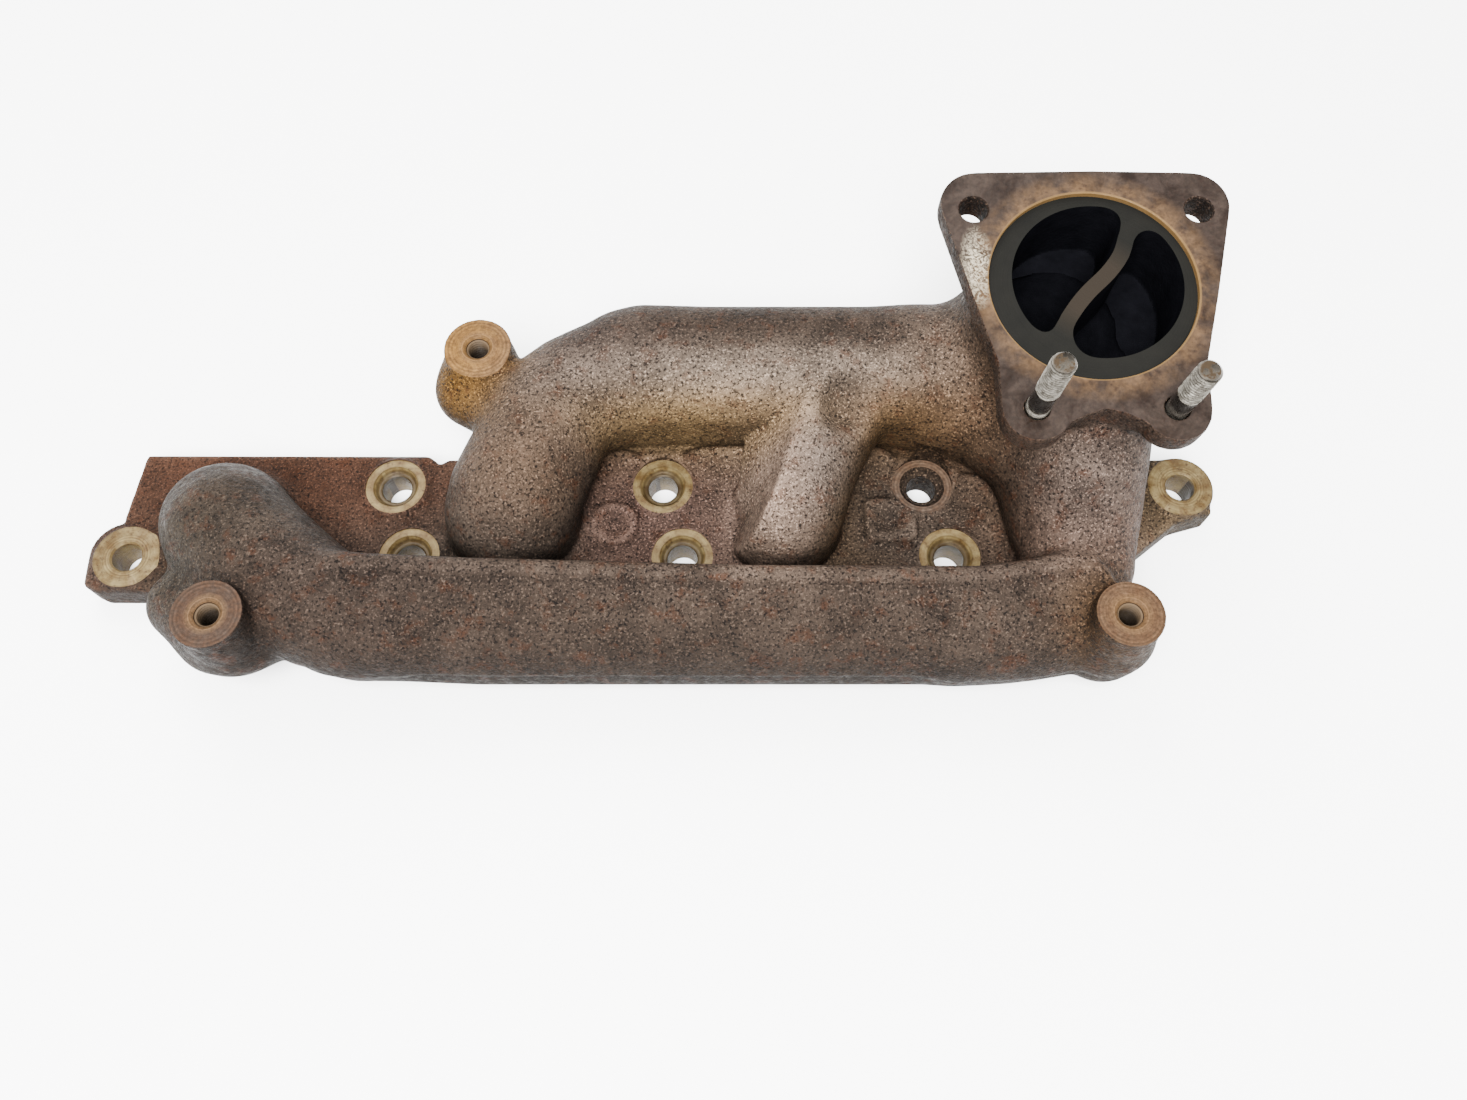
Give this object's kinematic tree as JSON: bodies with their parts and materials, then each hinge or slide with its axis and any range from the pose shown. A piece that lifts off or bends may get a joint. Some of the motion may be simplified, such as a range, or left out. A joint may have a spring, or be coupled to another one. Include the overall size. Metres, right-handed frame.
{
  "type": "exhaust manifold",
  "caption": "Cast-iron twin-entry exhaust manifold for a four-cylinder turbo engine, with two logs, a three-lobed outlet flange split by an S-shaped wall, and outlet studs.",
  "frame": {"origin": "on the head face, at the middle bolt column, halfway between the two bolt rows", "axes": "+X along the row of ports from cylinder 1 to cylinder 4, +Y across the ports towards the outlet side, +Z out of the cylinder head"},
  "size_m": [0.4022, 0.1579, 0.1092],
  "materials": {
    "cast_iron": "rough sand-cast surface, grey-brown with dark and pale specks and tan rust patches",
    "dark_iron": "rough sand-cast surface, darker heat-stained brown",
    "rusty_iron": "rough cast surface with red-brown rust",
    "outlet_face": "machined face, heat-tinted copper and tan, with bright scratches",
    "sooty_iron": "cast surface dulled by dark grey soot",
    "stud_steel": "worn zinc-grey steel with bright rolled threads"
  },
  "bodies": {
    "root": {"heat_shield_boss_left": "cast_iron", "heat_shield_boss_right": "cast_iron", "heat_shield_boss_rear": "cast_iron", "bolt_land_1": "rusty_iron", "port_flange_1": "rusty_iron", "bolt_land_2": "rusty_iron", "port_flange_2": "cast_iron", "bolt_land_3": "cast_iron", "port_flange_3": "cast_iron", "bolt_land_4": "cast_iron", "port_flange_4": "cast_iron", "bolt_land_5": "cast_iron", "collector": "cast_iron", "runner_4": "cast_iron", "runner_1": "dark_iron", "front_log": "dark_iron", "runner_2": "cast_iron", "runner_3": "cast_iron", "rear_log": "cast_iron", "outlet_flange": "outlet_face", "divider_wall": "sooty_iron", "outlet_stud_left": "stud_steel", "outlet_stud_right": "stud_steel"}
  },
  "joints": []
}
